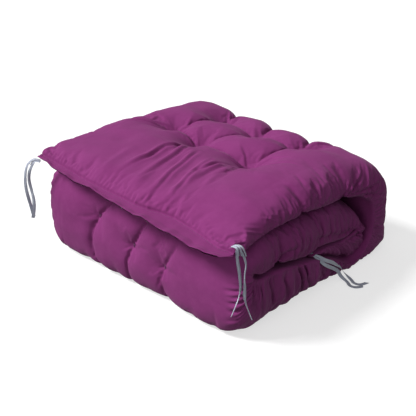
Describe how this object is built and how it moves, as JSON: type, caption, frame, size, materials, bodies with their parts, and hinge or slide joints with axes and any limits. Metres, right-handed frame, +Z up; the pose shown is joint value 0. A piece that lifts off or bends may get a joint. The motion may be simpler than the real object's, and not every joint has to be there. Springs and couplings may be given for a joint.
{
  "type": "folded futon mattress",
  "caption": "Tufted soft futon mattress folded on itself in layers, with a sewn hem at its free end and ribbon ties at the corners.",
  "frame": {"origin": "on the floor, under the middle of the folded mattress", "axes": "+X from the free end hem to the upright wall of the fold, +Y across the width, +Z up"},
  "size_m": [0.72, 0.8161, 0.305],
  "materials": {
    "cover_fabric": "brushed purple microfibre cloth with a soft nap",
    "cotton_fill": "natural cotton batting",
    "tie_ribbon": "grey-blue woven ribbon",
    "sewing_thread": "twisted thread"
  },
  "bodies": {
    "base": {"cover_bottom": "cover_fabric", "fill_bottom": "cotton_fill", "cover_closed_fold": "cover_fabric", "fill_closed_fold": "cotton_fill", "cover_middle": "cover_fabric", "fill_middle": "cotton_fill", "cover_tucked_end": "cover_fabric", "fill_tucked_end": "cotton_fill", "tuft_threads_bottom": "sewing_thread", "tuft_threads_closed_fold": "sewing_thread", "tuft_threads_middle": "sewing_thread", "tucked_end_hem": "cover_fabric", "tucked_end_closing_stitch": "sewing_thread", "inner_tie_tab": "tie_ribbon", "inner_tie_front_tail": "tie_ribbon", "inner_tie_back_tail": "tie_ribbon"},
    "upright": {"cover_upright": "cover_fabric", "fill_upright": "cotton_fill", "tuft_threads_upright": "sewing_thread", "cover_upper_corner": "cover_fabric", "fill_upper_corner": "cotton_fill", "cover_lower_corner": "cover_fabric", "fill_lower_corner": "cotton_fill"},
    "top_section": {"cover_top": "cover_fabric", "fill_top": "cotton_fill", "tuft_threads_top": "sewing_thread", "free_end_hem": "cover_fabric", "free_end_closing_stitch": "sewing_thread", "far_tie_tab": "tie_ribbon", "near_tie_knot": "tie_ribbon", "far_tie_outer_tail": "tie_ribbon", "far_tie_inner_tail": "tie_ribbon", "near_tie_left_tail": "tie_ribbon", "near_tie_right_tail": "tie_ribbon"}
  },
  "joints": [
    {"name": "wall_unfold", "type": "hinge", "parent": "base", "child": "upright", "pos_m": [0.265, 0, 0.095], "axis": [0, 1, 0], "range_deg": [0, 90], "deforming": ["cover_lower_corner", "fill_lower_corner"]},
    {"name": "top_unfold", "type": "hinge", "parent": "upright", "child": "top_section", "pos_m": [0.265, 0, 0.21], "axis": [0, 1, 0], "range_deg": [0, 90], "deforming": ["cover_upper_corner", "fill_upper_corner"]}
  ]
}
